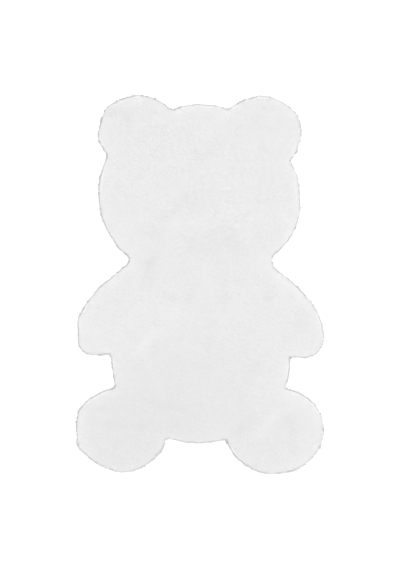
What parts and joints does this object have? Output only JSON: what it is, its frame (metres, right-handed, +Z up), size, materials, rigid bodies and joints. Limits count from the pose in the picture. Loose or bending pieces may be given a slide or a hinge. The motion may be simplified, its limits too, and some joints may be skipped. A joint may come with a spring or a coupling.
{
  "type": "plush rug",
  "caption": "Flat plush rug cut to the outline of a teddy bear, with a short dense white pile on a plain back.",
  "frame": {"origin": "on the floor under the middle of the rug's outline box", "axes": "+Y from the feet to the head, +X to the side that is right in the picture, +Z up out of the pile"},
  "size_m": [0.785, 1.2, 0.0131],
  "materials": {
    "plush": "short dense white plush pile, matt, with softly brushed patches"
  },
  "bodies": {
    "root": {"plush_rug": "plush"}
  },
  "joints": []
}
